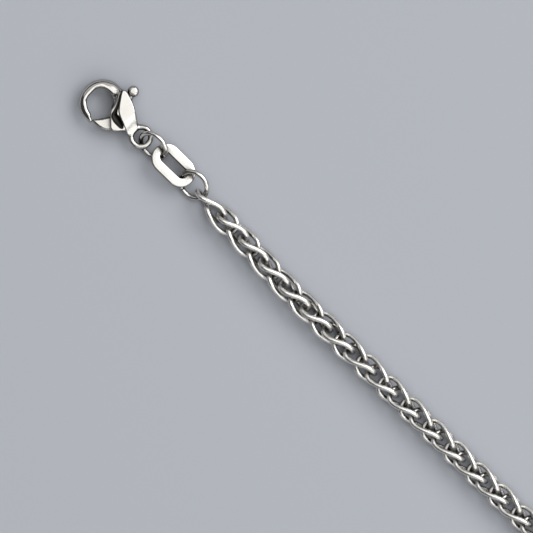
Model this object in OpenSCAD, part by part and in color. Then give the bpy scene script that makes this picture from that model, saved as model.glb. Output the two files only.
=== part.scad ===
// A wheat chain necklace, lying open on a table.
// The chain's straight stretch runs along X, and every piece rests at or just above z = 0.

/* [Necklace] */
// Length from the clasp's eye to the far ring, along the chain
necklace_l = 445; // [350:1:600]

/* [Wheat chain] */
// Diameter of a wheat link's wire
link_wire = 0.55; // [0.4:0.01:0.56]
// Advance along the chain of two links
link_pitch = 3.43; // [3.4:0.01:4.2]
// Width of a link's oval between wire centres, before its waist is drawn in
link_w = 2.95; // [2.9:0.05:3.4]
// Clearance left between a link's tip and the arch that it pulls on
link_gap = 0.22; // [0.17:0.01:0.3]
// Twist of a link at its arch
arch_twist = 9; // [4:1:12]
// Twist of a link at its tip
tip_twist = 76; // [72:1:80]
// Roll of the whole chain about its own line
chain_roll = 10; // [0:1:20]
// Extra roll of the first link, which the next ones take back
start_roll = 57; // [0:1:60]
// Number of links made as links at the clasp's end
made_links = 72; // [34:2:76]

/* [Clasp] */
// Length of the clasp from the hook's back to the middle of the eye
clasp_l = 8.33; // [7.5:0.01:10]
// Thickness of the clasp's housing
clasp_t = 2.1; // [1.9:0.05:2.6]
// Height of the raised blade above each face of the housing
blade_h = 0.2; // [0.1:0.01:0.3]
// Thickness of the hook at its root
hook_t = 1.9; // [1.7:0.05:2.2]
// Thickness of the lever
lever_t = 0.9; // [0.6:0.05:1]
// Diameter of the ball on the lever's thumb
knob_d = 1.25; // [1:0.05:1.4]
// Diameter of the pin that the lever turns on
pin_d = 0.7; // [0.5:0.05:0.8]
// How far the lever turns to open the hook
lever_open = 28; // [20:1:30]

/* [Rings] */
// Outer diameter of the clasp's eye
eye_d = 2.75; // [2.6:0.05:2.9]
// Wire of the eye
eye_wire = 0.6; // [0.4:0.05:0.6]
// Outer diameter of each jump ring
ring_d = 3.85; // [3.75:0.05:4]
// Wire of each jump ring
ring_wire = 0.54; // [0.44:0.02:0.54]
// Lean of the clasp's jump ring from the table
clasp_ring_lean = 50; // [46:1:55]
// Lean of the chain's jump ring from the table
chain_ring_lean = 40; // [40:1:46]
// Outer diameter of the far ring
far_ring_d = 4.6; // [4:0.1:6]
// Wire of the far ring
far_ring_wire = 0.55; // [0.45:0.05:0.6]

/* [Flat link] */
// Length of the flat link
flat_l = 5.5; // [5.2:0.1:6.5]
// Width of the flat link
flat_w = 3.45; // [3.2:0.05:4]
// Thickness of the flat link
flat_t = 0.44; // [0.4:0.02:0.48]
// Width of its slot
slot_w = 1.18; // [1.14:0.02:1.24]
// Width of metal left round each end of the slot
slot_end = 0.9; // [0.8:0.05:1]
// Lean of the flat link, against the lean of the rings
flat_lean = 14; // [12:1:16]

/* [Fits] */
// Clearance between pieces that pass or turn in each other
fit = 0.05; // [0.03:0.01:0.08]

/* [Hidden] */
$fn = 48;

// Columns of every point
X = 0;
Y = 1;
Z = 2;

// Route of the chain from its first link to its last.
// Columns: share of the chain's length, turn to the left over that share in degrees
SHARE = 0;
TURN = 1;
ROUTE = [
    [0.003, 0],
    [0.005, 5.5],
    [0.005, 0],
    [0.006, -3],
    [0.008, 0],
    [0.013, 4],
    [0.087, 0],
    [0.250, 125],
    [0.332, 80],
    [0.291, 125]
];
route_heading = -6.5;

// Places and outlines of the clasp, as shares of its length from the middle of the eye.
// Columns: share along the clasp's line, share across it
HOOK_MIDDLE = [-0.72, -0.04];
PIVOT = [-0.36, -0.107];
KNOB = [-0.495, 0.362];
HOUSING = [
    [-0.611, 0.276], [-0.56, 0.3], [-0.36, 0.237], [-0.144, 0.089], [-0.163, -0.036], [-0.191, -0.083],
    [-0.337, -0.241], [-0.48, -0.095], [-0.533, -0.04], [-0.547, 0.093], [-0.6, 0.173]
];
BLADE = [
    [-0.611, 0.27], [-0.56, 0.3], [-0.36, 0.237], [-0.144, 0.089], [-0.163, -0.036], [-0.217, -0.055],
    [-0.36, -0.01], [-0.451, 0.039]
];
LEVER = [
    [-0.619, -0.291], [-0.573, -0.311], [-0.48, -0.304], [-0.387, -0.272], [-0.313, -0.18],
    [-0.307, -0.067], [-0.437, 0.34], [-0.55, 0.35], [-0.433, -0.027], [-0.487, -0.1],
    [-0.544, -0.189], [-0.616, -0.272]
];
NECK = [[-0.2, 0.1], [-0.107, 0.067], [-0.107, -0.067], [-0.2, -0.08]];
// The slot's side that stops the lever at rest, and the side under the gate
SLOT_STOP = [[-0.578, 0.413], [-0.517, 0.12], [-0.56, -0.013], [-0.6, -0.013]];
SLOT_GATE = [[-0.6, -0.2], [-0.42, -0.387], [-0.3, -0.387], [-0.3, -0.187], [-0.26, -0.107]];
// The lever's thumb side at rest, which the slot makes room for when it is open
SLOT_THUMB = [[-0.279, -0.05], [-0.433, 0.44]];

// The hook's table, round its own middle.
// Columns: angle in degrees, share from the middle to the inner edge, share of the width
ANGLE = 0;
INNER = 1;
WIDTH = 2;
HOOK = [
    [20, 0.180, 0.160],
    [60, 0.171, 0.150],
    [90, 0.170, 0.148],
    [135, 0.178, 0.112],
    [180, 0.160, 0.112],
    [215, 0.176, 0.106],
    [240, 0.180, 0.116],
    [258, 0.190, 0.112],
    [276, 0.205, 0.104],
    [283, 0.234, 0.079],
    [288, 0.264, 0.050]
];
hook_from = HOOK[0][ANGLE];
hook_to = HOOK[len(HOOK) - 1][ANGLE];
// The hook's tip is this share of its root's thickness, and the neck this share of the housing's
hook_tip_share = 0.45;
neck_share = 0.5;
// Wall of the lever's hub round its pin
hub_wall = 0.27;

// Rings round a link and along the hook, steps round the flat link's ends, and sides of each swept form
link_rings = 16;
link_sides = 5;
run_sides = 8;
hook_rings = 30;
hook_sides = 12;
end_steps = 12;
// Bevel of the flat link's edges, as a share of its thickness
bevel_share = 0.3;

// Shape of a wheat link: how far its waist is drawn in, and how far its arch is wider than its tip
waist = 0.2;
pear = 0.07;
link_l = link_pitch + link_wire + link_gap;
// The second hand of link follows the first by this share of the pitch
stagger = 0.53;
// Number of links over which the start's extra roll is taken back
unroll_links = 20;

// Heights of the pieces' middles above the table
clasp_z = clasp_t / 2 + blade_h;
ring_r = (ring_d - ring_wire) / 2;
clasp_ring_z = ring_r * sin(clasp_ring_lean) + ring_wire / 2;
chain_ring_z = ring_r * sin(chain_ring_lean) + ring_wire / 2;

// How far the rings' middles stand to the side of the eye's, and the first arch to the side of the rings'
ring_side = 0.25;
arch_side = -0.15;
eye_side = -ring_side - arch_side;

// Places along the line of the clasp, from the middle of the eye.
// A leaning ring hangs deeper in the eye than wire on wire, and has slack at the flat link's slot
// and at the wheat link that it holds
eye_sink = 0.52;
slot_slack = 0.12;
ring_slack = 0.1;
eye_r = (eye_d - eye_wire) / 2;
slot_reach = flat_l / 2 - slot_end - ring_wire / 2 - slot_slack;
clasp_ring_x = eye_r + ring_r - ring_wire - eye_sink;
flat_x = clasp_ring_x + ring_r + slot_reach;
chain_ring_x = flat_x + slot_reach + ring_r;
first_arch_x = chain_ring_x + ring_r - ring_wire / 2 - link_wire / 2 - link_gap - ring_slack;

// The chain between its first arch and its last tip
far_ring_r = (far_ring_d - far_ring_wire) / 2;
chain_l = necklace_l - first_arch_x - 2 * far_ring_r;
link_count = 2 * floor((chain_l - link_l - stagger * link_pitch) / link_pitch) + 2;
run_l = link_start(link_count - 1) + link_l;
// Links made as links again at the far end
end_links = 2;
// Width of the plain run: the twisted links fill this share of their oval's width
width_share = 0.97;
run_w = link_w * width_share;
// The run has one ring of points in this many of its widths
run_ring_every = 2.5;

// Vector helpers
function unit(v) = v / norm(v);
function smooth(a) = a <= 0 ? 0 : a >= 1 ? 1 : a * a * (3 - 2 * a);
function mix(a, b, f) = a + (b - a) * f;

// Pose [x, y, heading] after a distance d along an arc that turns by a
function along(pose, d, a) =
    let (chord = a == 0 ? d : d * sin(a / 2) / (a / 2 * PI / 180), h = pose[Z] + a / 2)
    [pose[X] + chord * cos(h), pose[Y] + chord * sin(h), pose[Z] + a];

// Pose on the route at distance s from its start
function route_pose(s, row = 0, pose = [0, 0, route_heading]) =
    let (l = ROUTE[row][SHARE] * run_l, turn = ROUTE[row][TURN])
    s <= l || row == len(ROUTE) - 1
        ? along(pose, s, turn * s / l)
        : route_pose(s - l, row + 1, along(pose, l, turn));

// The middle of the loop, which is the origin of the necklace
route_steps = 200;
route_poses = [for (i = [0:route_steps]) route_pose(run_l * i / route_steps)];
low_x = min([for (p = route_poses) p[X]]);
high_x = max([for (p = route_poses) p[X]]);
high_y = max([for (p = route_poses) p[Y]]) + run_w / 2;
clasp_low = HOOK_MIDDLE[Y] + min([for (row = HOOK) (row[INNER] + row[WIDTH]) * sin(row[ANGLE])]);
low_y = min(min([for (p = route_poses) p[Y]]) - run_w / 2, clasp_low * clasp_l + eye_side);
middle = [(low_x + high_x) / 2, (low_y + high_y) / 2, 0];

// A link's wire at the angle a round it: its distance from the chain's line, the twist of the
// line that the distance is measured on, and the point that they give on a rolled link
function link_half(a) = link_w / 2 * sin(a) * (1 - waist * pow(sin(a), 4)) * (1 + pear * cos(a));
function link_twist(a) = mix(arch_twist, tip_twist, smooth((1 - cos(a)) / 2));
function link_roll(i) = chain_roll + start_roll * (1 - smooth(i / unroll_links));
function rolled(x, y, z, roll) = [x, y * cos(roll) + z * sin(roll), z * cos(roll) - y * sin(roll)];
function link_point(a, hand, roll) =
    let (w = link_half(a), t = link_twist(a))
    rolled(link_l * (1 - cos(a)) / 2, hand * w * cos(t), w * sin(t), roll);

// Links come in two hands that mirror each other and take turns
function link_hand(i) = i % 2 == 0 ? -1 : 1;
function link_start(i) = (floor(i / 2) + (i % 2 == 0 ? 0 : stagger)) * link_pitch;

// Height of the chain's middle where its links have this roll, so that they lie on the table
function rest_z(roll) =
    max([for (hand = [-1, 1], j = [0:link_rings - 1]) -link_point(360 * j / link_rings, hand, roll)[Z]])
    + link_wire / 2;

// One ring of points round p, across the directions u and v, with the half widths ru and rv
function ring_at(p, u, v, ru, rv, sides) =
    [for (k = [0:sides - 1]) p + ru * cos(360 * k / sides) * u + rv * sin(360 * k / sides) * v];

// A wheat link's ring of points at the angle a, turned with the twist, in the frame of its own pose
function link_ring(a, hand, roll) =
    let (
        step = 1,
        wire = unit(link_point(a + step, hand, roll) - link_point(a - step, hand, roll)),
        t = link_twist(a),
        face = rolled(0, -hand * sin(t), cos(t), roll),
        u = unit(face - (face * wire) * wire)
    )
    ring_at(link_point(a, hand, roll), u, cross(wire, u), link_wire / 2, link_wire / 2, link_sides);

// A skin over rings of points: closed on itself, or with flat ends
module skin(rings, closed) {
    n = len(rings[0]);
    count = len(rings);
    sides = [for (i = [0:count - (closed ? 1 : 2)], k = [0:n - 1])
        [i * n + k, i * n + (k + 1) % n, ((i + 1) % count) * n + (k + 1) % n, ((i + 1) % count) * n + k]];
    triangles = [for (f = sides, half = [0, 1]) half == 0 ? [f[0], f[2], f[1]] : [f[0], f[3], f[2]]];
    ends = closed ? [] : [[for (k = [0:n - 1]) k], [for (k = [n - 1:-1:0]) (count - 1) * n + k]];
    polyhedron([for (r = rings, p = r) p], concat(triangles, ends));
}

// A wheat link where it lies on the route
module wheat_link(i) {
    roll = link_roll(i);
    pose = route_pose(link_start(i) + link_l / 2);
    translate([pose[X], pose[Y], rest_z(roll)])
        rotate([0, 0, pose[Z]])
            translate([-link_l / 2, 0, 0])
                skin([for (j = [0:link_rings - 1])
                    link_ring(360 * j / link_rings, link_hand(i), roll)], true);
}

// The necklace's frame: the loop's middle is the origin
module in_place() {
    translate(-middle) children();
}

// The clasp's frame: x along the line of the clasp from the middle of its eye
module on_clasp(z) {
    translate([-first_arch_x, eye_side, z]) children();
}

module wheat_links() {
    color("silver")
        in_place()
            for (i = [0:made_links - 1])
                wheat_link(i);
}

// The plain run takes the links' place from their last tip to the last pair of links
module wheat_run() {
    run_h = rest_z(chain_roll);
    start = link_start(made_links - 1) + link_l + link_wire / 2 + link_gap;
    finish = link_start(link_count - end_links) - link_wire / 2 - link_gap;
    steps = ceil((finish - start) / (run_ring_every * run_w));
    color("silver")
        in_place() {
            skin([for (i = [0:steps])
                let (pose = route_pose(mix(start, finish, i / steps)))
                ring_at([pose[X], pose[Y], run_h], [-sin(pose[Z]), cos(pose[Z]), 0], [0, 0, 1],
                        run_w / 2, run_h, run_sides)], false);
            for (i = [link_count - end_links:link_count - 1])
                wheat_link(i);
        }
}

// A round ring of wire that leans about the line it lies on
module wire_ring(outer_d, wire) {
    rotate_extrude()
        translate([(outer_d - wire) / 2, 0])
            circle(d = wire, $fn = 32);
}

module clasp_ring() {
    color("silver")
        in_place()
            on_clasp(clasp_ring_z)
                translate([clasp_ring_x, ring_side, 0])
                    rotate([clasp_ring_lean, 0, 0])
                        wire_ring(ring_d, ring_wire);
}

module chain_ring() {
    color("silver")
        in_place()
            on_clasp(chain_ring_z)
                translate([chain_ring_x, ring_side, 0])
                    rotate([chain_ring_lean, 0, 0])
                        wire_ring(ring_d, ring_wire);
}

module far_ring() {
    pose = route_pose(run_l);
    reach = far_ring_r - far_ring_wire / 2 - link_wire / 2 - link_gap - ring_slack;
    drop = asin((rest_z(chain_roll) - far_ring_wire / 2) / (reach + far_ring_r));
    color("silver")
        in_place()
            translate([pose[X], pose[Y], rest_z(chain_roll)])
                rotate([0, drop, pose[Z]])
                    translate([reach, 0, 0])
                        wire_ring(far_ring_d, far_ring_wire);
}

// The flat oval link: a flat band round a slot, with its edges broken
module flat_link() {
    bevel = flat_t * bevel_share;
    h = flat_t / 2;
    outer_r = flat_w / 2;
    slot_r = slot_w / 2;
    outer_x = flat_l / 2 - outer_r;
    slot_x = flat_l / 2 - slot_end - slot_r;
    rings = [for (side = [1, -1], j = [0:end_steps])
        let (
            a = side * -90 + 180 * j / end_steps,
            turn = [cos(a), sin(a), 0],
            inner = [side * slot_x, 0, 0] + slot_r * turn,
            outer = [side * outer_x, 0, 0] + outer_r * turn,
            w = norm(outer - inner),
            across = unit(outer - inner),
            section = [[0, h - bevel], [bevel, h], [w - bevel, h], [w, h - bevel],
                       [w, bevel - h], [w - bevel, -h], [bevel, -h], [0, bevel - h]]
        )
        [for (q = section) inner + q[X] * across + [0, 0, q[Y]]]];
    lift = asin((clasp_ring_z - chain_ring_z) / (chain_ring_x - clasp_ring_x - 2 * ring_r));
    color("gainsboro")
        in_place()
            on_clasp((clasp_ring_z + chain_ring_z) / 2)
                translate([flat_x, ring_side, 0])
                    rotate([0, lift, 0])
                        rotate([-flat_lean, 0, 0])
                            skin(rings, true);
}

function sized(outline) = [for (p = outline) p * clasp_l];

// An outline with its corners cut twice, which rounds them
function rounded(p, passes = 2) =
    passes == 0 ? p
    : rounded([for (i = [0:len(p) - 1], f = [0.2, 0.8]) mix(p[i], p[(i + 1) % len(p)], f)], passes - 1);

// A point turned with the lever by the angle a
function swung(p, a) =
    let (d = p - PIVOT) PIVOT + [d[X] * cos(a) + d[Y] * sin(a), d[Y] * cos(a) - d[X] * sin(a)];

// A plate of the clasp with the given outline, thick to both sides of the middle
module plate(outline, thick) {
    translate([0, 0, -thick / 2])
        linear_extrude(thick)
            polygon(outline);
}

module hook() {
    steps = hook_rings - 1;
    rings = [for (i = [0:steps])
        let (
            a = mix(hook_from, hook_to, i / steps),
            inner = lookup(a, [for (row = HOOK) [row[ANGLE], row[INNER]]]) * clasp_l,
            w = lookup(a, [for (row = HOOK) [row[ANGLE], row[WIDTH]]]) * clasp_l,
            t = hook_t * mix(1, hook_tip_share, (a - hook_from) / (hook_to - hook_from)),
            out = [cos(a), sin(a), 0]
        )
        ring_at([HOOK_MIDDLE[X], HOOK_MIDDLE[Y], 0] * clasp_l + (inner + w / 2) * out,
                out, [0, 0, -1], w / 2, t / 2, hook_sides)];
    skin(rings, false);
}

module lever_slot() {
    thumb = [for (p = SLOT_THUMB) swung(p, lever_open)];
    plate(sized(concat(SLOT_STOP, SLOT_GATE, thumb)), lever_t + 2 * fit);
}

module at_pivot() {
    translate([PIVOT[X], PIVOT[Y], 0] * clasp_l) children();
}

module clasp_body() {
    color("silver")
        in_place()
            on_clasp(clasp_z)
                difference() {
                    union() {
                        hook();
                        plate(rounded(sized(HOUSING)), clasp_t);
                        plate(rounded(sized(BLADE)), clasp_t + 2 * blade_h);
                        plate(sized(NECK), clasp_t * neck_share);
                        wire_ring(eye_d, eye_wire);
                    }
                    lever_slot();
                    at_pivot()
                        cylinder(d = pin_d + 2 * fit, h = 2 * clasp_t, center = true);
                }
}

module clasp_lever() {
    color("lightgray")
        in_place()
            on_clasp(clasp_z)
                difference() {
                    union() {
                        plate(rounded(sized(LEVER)), lever_t);
                        at_pivot()
                            cylinder(d = pin_d + 2 * hub_wall, h = lever_t, center = true);
                        translate([KNOB[X], KNOB[Y], 0] * clasp_l)
                            sphere(d = knob_d);
                    }
                    at_pivot()
                        cylinder(d = pin_d + 2 * fit, h = 2 * lever_t, center = true);
                }
}

module lever_pin() {
    color("gainsboro")
        in_place()
            on_clasp(clasp_z)
                at_pivot()
                    cylinder(d = pin_d, h = clasp_t, center = true);
}

clasp_body();
clasp_lever();
lever_pin();
clasp_ring();
flat_link();
chain_ring();
wheat_links();
wheat_run();
far_ring();
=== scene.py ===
# %% [markdown]
# # A wheat chain necklace in polished white metal
#
# A wheat chain is made of twisted oval links. Every link passes through the next two, and
# links of two hands take turns, which gives the look of an ear of wheat. This lesson dresses
# the plain frame of such a necklace: it makes the links, the jump rings, the flat link and
# the lobster clasp smooth, gives them a polished finish, and lights them as a jeweller would.

# %% Load the frame
import bpy
import math
import numpy as np
from mathutils import Matrix, Vector


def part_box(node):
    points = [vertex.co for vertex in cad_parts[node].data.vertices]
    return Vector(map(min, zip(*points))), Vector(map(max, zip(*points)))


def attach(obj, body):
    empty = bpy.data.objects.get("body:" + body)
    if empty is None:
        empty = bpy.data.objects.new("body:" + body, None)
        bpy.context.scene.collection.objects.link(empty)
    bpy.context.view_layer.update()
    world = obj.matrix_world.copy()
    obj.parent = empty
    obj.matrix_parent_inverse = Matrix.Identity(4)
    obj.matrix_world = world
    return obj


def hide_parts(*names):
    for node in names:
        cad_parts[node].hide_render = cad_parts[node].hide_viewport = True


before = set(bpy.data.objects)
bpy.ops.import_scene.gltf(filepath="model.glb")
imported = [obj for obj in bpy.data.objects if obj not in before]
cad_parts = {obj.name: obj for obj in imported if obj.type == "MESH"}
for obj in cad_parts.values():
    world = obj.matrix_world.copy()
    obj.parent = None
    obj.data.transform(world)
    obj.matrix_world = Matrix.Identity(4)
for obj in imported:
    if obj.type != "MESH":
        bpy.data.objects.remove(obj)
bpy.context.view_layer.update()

# %% [markdown]
# ## Sizes
#
# The sizes are millimetres, as on a jeweller's bench, and each mesh is turned into metres.
# The places of the clasp and the rings come from the frame's own boxes, so they can't drift.

# %% Sizes of the chain
MM = 0.001
NECKLACE_L = 445
LINK_WIRE, LINK_W, LINK_GAP = 0.55, 2.95, 0.22
# Links of one hand are a pitch apart, and the other hand's come a share of it later
LINK_PITCH, STAGGER = 3.43, 0.53
LINK_L = LINK_PITCH + LINK_WIRE + LINK_GAP
# A link's twist at its arch and at its tip, in degrees
ARCH_TWIST, TIP_TWIST = 9, 76
# How much a link narrows at its waist, and how much wider it is towards its arch
WAIST, PEAR = 0.2, 0.07
# The steady chain's roll, what the first link adds to it, and the links over which that fades
CHAIN_ROLL, START_ROLL, UNROLL_LINKS = 10, 57, 20
# This many links have a solid of their own in the frame
MADE_LINKS = 72
print("a link is", round(LINK_L, 2), "mm long")

# %% Sizes of the rings, the flat link and the clasp
RING_D, RING_WIRE, RING_SLACK = 3.85, 0.54, 0.1
CLASP_RING_LEAN, CHAIN_RING_LEAN = 50, 40
FAR_RING_D, FAR_RING_WIRE = 4.6, 0.55
FLAT_L, FLAT_W, FLAT_T = 5.5, 3.45, 0.44
SLOT_W, SLOT_END, FLAT_LEAN = 1.18, 0.9, 14
CLASP_L, CLASP_T, BLADE_H = 8.33, 2.1, 0.2
HOOK_T, LEVER_T, KNOB_D, PIN_D = 1.9, 0.9, 1.25, 0.7
LEVER_OPEN = 28
EYE_D, EYE_WIRE = 2.75, 0.6
FIT = 0.05
# The lever's pivot, as shares of the clasp's length from the middle of its eye
PIVOT = np.array([-0.36, -0.107])
# How far the first arch lies to the side of the rings' middles
ARCH_SIDE = -0.15


def middle_of(node):
    """The middle of a CAD node's box, in millimetres."""
    low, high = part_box(node)
    return np.array((low + high) / 2) / MM


clasp_ring_at, chain_ring_at = middle_of("clasp_ring"), middle_of("chain_ring")
flat_at, pin_at = middle_of("flat_link"), middle_of("lever_pin")
ring_r = (RING_D - RING_WIRE) / 2
first_arch_x = chain_ring_at[0] + ring_r - RING_WIRE / 2 - LINK_WIRE / 2 - LINK_GAP - RING_SLACK
start_at = np.array([first_arch_x, chain_ring_at[1] + ARCH_SIDE])
print("first arch at", start_at.round(2), "mm")

# %% [markdown]
# ## The route
#
# The necklace lies in one open loop. Its line is a row of arcs: each arc is a share of the
# chain's length and a turn in degrees. A few short arcs near the clasp give the small bend
# that a chain has where it hangs on its ring, and three long ones close the loop. Arcs join
# without a kink, which a list of points would not do by itself.

# %% How many links the necklace takes
def link_start(i):
    """Distance along the chain at which link i's arch begins, in millimetres."""
    return (i // 2 + (STAGGER if i % 2 else 0)) * LINK_PITCH


eye_x = pin_at[0] - PIVOT[0] * CLASP_L
far_ring_r = (FAR_RING_D - FAR_RING_WIRE) / 2
chain_l = NECKLACE_L - (first_arch_x - eye_x) - 2 * far_ring_r
link_count = 2 * math.floor((chain_l - LINK_L - STAGGER * LINK_PITCH) / LINK_PITCH) + 2
run_l = link_start(link_count - 1) + LINK_L
print(link_count, "links on", round(run_l, 1), "mm")

# %% Walk the route
ROUTE = [(0.003, 0), (0.005, 5.5), (0.005, 0), (0.006, -3), (0.008, 0), (0.013, 4),
    (0.087, 0), (0.250, 125), (0.332, 80), (0.291, 125)]
ROUTE_HEADING = -6.5


def along(pose, distance, turn):
    """The pose (x, y, heading) after an arc of that length and turn."""
    half = math.radians(turn) / 2
    chord = distance if turn == 0 else distance * math.sin(half) / half
    heading = math.radians(pose[2]) + half
    return (pose[0] + chord * math.cos(heading), pose[1] + chord * math.sin(heading), pose[2] + turn)


def route_pose(s):
    """The pose at the distance s along the chain."""
    pose = (start_at[0], start_at[1], ROUTE_HEADING)
    for row, (share, turn) in enumerate(ROUTE):
        length = share * run_l
        if s <= length or row == len(ROUTE) - 1:
            return along(pose, s, turn * s / length)
        pose = along(pose, length, turn)
        s -= length


print("the chain ends at", [round(v, 1) for v in route_pose(run_l)[:2]], "mm")

# %% [markdown]
# ## A swept wire
#
# Every piece of this chain but the clasp and the flat link is a bent wire. Blender can bevel
# a curve for that, but then its round section may turn as the wire twists. Here a ring of
# points is set square to the wire at each step, and a given direction fixes how it is turned.
# The wire keeps a UV map, with U along it and V round it, because the fine lines that a
# drawplate leaves run along the wire.

# %% Helpers for objects and meshes
def in_scene(name, data):
    """A new object in the scene."""
    made = bpy.data.objects.new(name, data)
    bpy.context.scene.collection.objects.link(made)
    return made


def smooth_mesh(name, points, faces):
    """A smooth mesh from points in millimetres."""
    mesh = bpy.data.meshes.new(name)
    mesh.from_pydata((points * MM).tolist(), [], faces)
    mesh.polygons.foreach_set("use_smooth", [True] * len(mesh.polygons))
    return mesh


# %% The rings of points
def wire_rings(middles, faces_to, radii, sides, closed):
    """A ring of points round each middle, square to the wire there."""
    ahead = np.roll(middles, -1, 0) - np.roll(middles, 1, 0)
    if not closed:
        ahead[0], ahead[-1] = middles[1] - middles[0], middles[-1] - middles[-2]
    ahead /= np.linalg.norm(ahead, axis=1)[:, None]
    u = faces_to - (faces_to * ahead).sum(1)[:, None] * ahead
    u /= np.linalg.norm(u, axis=1)[:, None]
    v = np.cross(ahead, u)
    turns = 2 * math.pi * np.arange(sides) / sides
    return middles[:, None] + radii[:, None, None] * (
        np.cos(turns)[None, :, None] * u[:, None] + np.sin(turns)[None, :, None] * v[:, None])


# %% The mesh on them
def band_quads(count, sides, spans):
    """The faces between neighbouring rings of points."""
    return [(i * sides + k, i * sides + (k + 1) % sides,
             (i + 1) % count * sides + (k + 1) % sides, (i + 1) % count * sides + k)
            for i in range(spans) for k in range(sides)]


def add_wire_map(mesh, middles, sides, spans):
    """A UV map with the distance along the wire, in millimetres, and the share of a turn round it."""
    steps = np.linalg.norm(np.roll(middles, -1, 0) - middles, axis=1)
    distance = np.concatenate([[0], np.cumsum(steps)])
    uv = mesh.uv_layers.new(name="wire")
    corner = 0
    for i in range(spans):
        for k in range(sides):
            for di, dk in ((0, 0), (0, 1), (1, 1), (1, 0)):
                uv.data[corner].uv = (distance[i + di], (k + dk) / sides)
                corner += 1


def sweep(name, middles, faces_to, radii, sides, closed):
    """A mesh of a wire along points. faces_to fixes how each ring of points is turned."""
    count = len(middles)
    spans = count if closed else count - 1
    rings = wire_rings(middles, faces_to, radii, sides, closed)
    ends = [] if closed else [tuple(range(sides))[::-1], tuple(range((count - 1) * sides, count * sides))]
    mesh = smooth_mesh(name, rings.reshape(-1, 3), band_quads(count, sides, spans) + ends)
    add_wire_map(mesh, middles, sides, spans)
    mesh.validate()
    return mesh


# %% [markdown]
# ## One wheat link
#
# The real link is a round wire, bent to an oval, soldered shut, and twisted about its long
# axis, so that its arch stands nearly flat and its tip nearly upright. It could be bent by
# hand, point by point, but a formula says it all: where the wire's middle is at each angle
# round the link. The same formula says how high the chain rides, because its lowest wire
# touches the table.

# %% The link's line
def smooth_step(a):
    """Rises from 0 to 1 with a level start and end."""
    a = np.clip(a, 0, 1)
    return a * a * (3 - 2 * a)


def link_line(a, hand):
    """The middle of a link's wire at the angle a, and the direction its twist faces there."""
    half = LINK_W / 2 * np.sin(a) * (1 - WAIST * np.sin(a) ** 4) * (1 + PEAR * np.cos(a))
    twist = np.radians(ARCH_TWIST + (TIP_TWIST - ARCH_TWIST) * smooth_step((1 - np.cos(a)) / 2))
    line = np.stack([LINK_L * (1 - np.cos(a)) / 2, hand * half * np.cos(twist), half * np.sin(twist)], 1)
    face = np.stack([0 * a, -hand * np.sin(twist), np.cos(twist)], 1)
    return line, face


def link_object(name, hand, rings, sides):
    """A wheat link of one hand, its long axis on X and its middle at the origin."""
    a = 2 * math.pi * np.arange(rings) / rings
    line, face = link_line(a, hand)
    line[:, 0] -= LINK_L / 2
    mesh = sweep(name, line, face, np.full(rings, LINK_WIRE / 2), sides, True)
    return in_scene(name, mesh)


HEIGHT_STEPS = 64


def rest_height(roll):
    """How high the chain's middle lies where links of this roll touch the table."""
    a = 2 * math.pi * np.arange(HEIGHT_STEPS) / HEIGHT_STEPS
    r = math.radians(roll)
    lowest = max(-(line[:, 2] * math.cos(r) - line[:, 1] * math.sin(r)).min()
                 for line in (link_line(a, hand)[0] for hand in (-1, 1)))
    return lowest + LINK_WIRE / 2


print("the steady chain rests at", round(rest_height(CHAIN_ROLL), 3), "mm")

# %% [markdown]
# ## The finishes
#
# Polished silver is almost a mirror, so most of its look is what it reflects. What is left is
# small: a faint warm tarnish in broad patches, painted shade that darkens the metal where other
# surfaces stand close and paints the groove black, a roughness that varies at the scale of a
# tenth of a millimetre, and hairlines that wear leaves. One function builds the shared part of
# that, and each finish adds its own hairlines: along the wire where the wire was drawn, and in
# all directions on a casting.

# %% Helpers for trees of nodes
def add_node(tree, kind, inputs=(), **settings):
    """A new node with its settings, its inputs linked or set by name or number."""
    made = tree.nodes.new(kind)
    for key, value in settings.items():
        setattr(made, key, value)
    for key, value in dict(inputs).items():
        if isinstance(value, bpy.types.NodeSocket):
            tree.links.new(value, made.inputs[key])
        else:
            made.inputs[key].default_value = value
    return made


def worked_out(tree, operation, a, b):
    """The result of a sum of two values."""
    return add_node(tree, "ShaderNodeMath", {0: a, 1: b}, operation=operation).outputs[0]


def ranged(tree, value, low, high, to_low, to_high, **settings):
    """The value, moved from one range to another and held inside it."""
    ends = {"From Min": low, "From Max": high, "To Min": to_low, "To Max": to_high}
    return add_node(tree, "ShaderNodeMapRange", {"Value": value, **ends}, **settings).outputs[0]


def noise(tree, place, scale, detail, roughness=0.5):
    """A soft noise at a place."""
    values = {"Vector": place, "Scale": scale, "Detail": detail, "Roughness": roughness}
    return add_node(tree, "ShaderNodeTexNoise", values).outputs["Fac"]


def mixed(tree, share, a, b):
    """Two colours, mixed by a share."""
    colours = {"Factor": share, "A": a, "B": b}
    return add_node(tree, "ShaderNodeMix", colours, data_type="RGBA").outputs["Result"]


# %% The colour of clean and of tarnished metal, and of the painted shade
BRIGHT_SILVER = (0.66, 0.64, 0.605, 1)
CHAIN_SILVER = (0.97, 0.945, 0.90, 1)
# The warm colour is the tarnish of the patches and also the first step of the painted shade; the black is
# painted shade, in crannies and in the groove
TARNISH_AND_SHADE_SILVER = (0.46, 0.44, 0.40, 1)
PAINTED_SHADE_BLACK = (0.03, 0.028, 0.026, 1)
PATCH_LOW, PATCH_HIGH = 0.35, 0.65
# Rays that measure how closed in a spot is for the painted shade, and the share of colour left where that
# shade is darkest
SHADE_RAYS, DEEPEST_SHADE_LEFT = 6, 0.10


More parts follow.
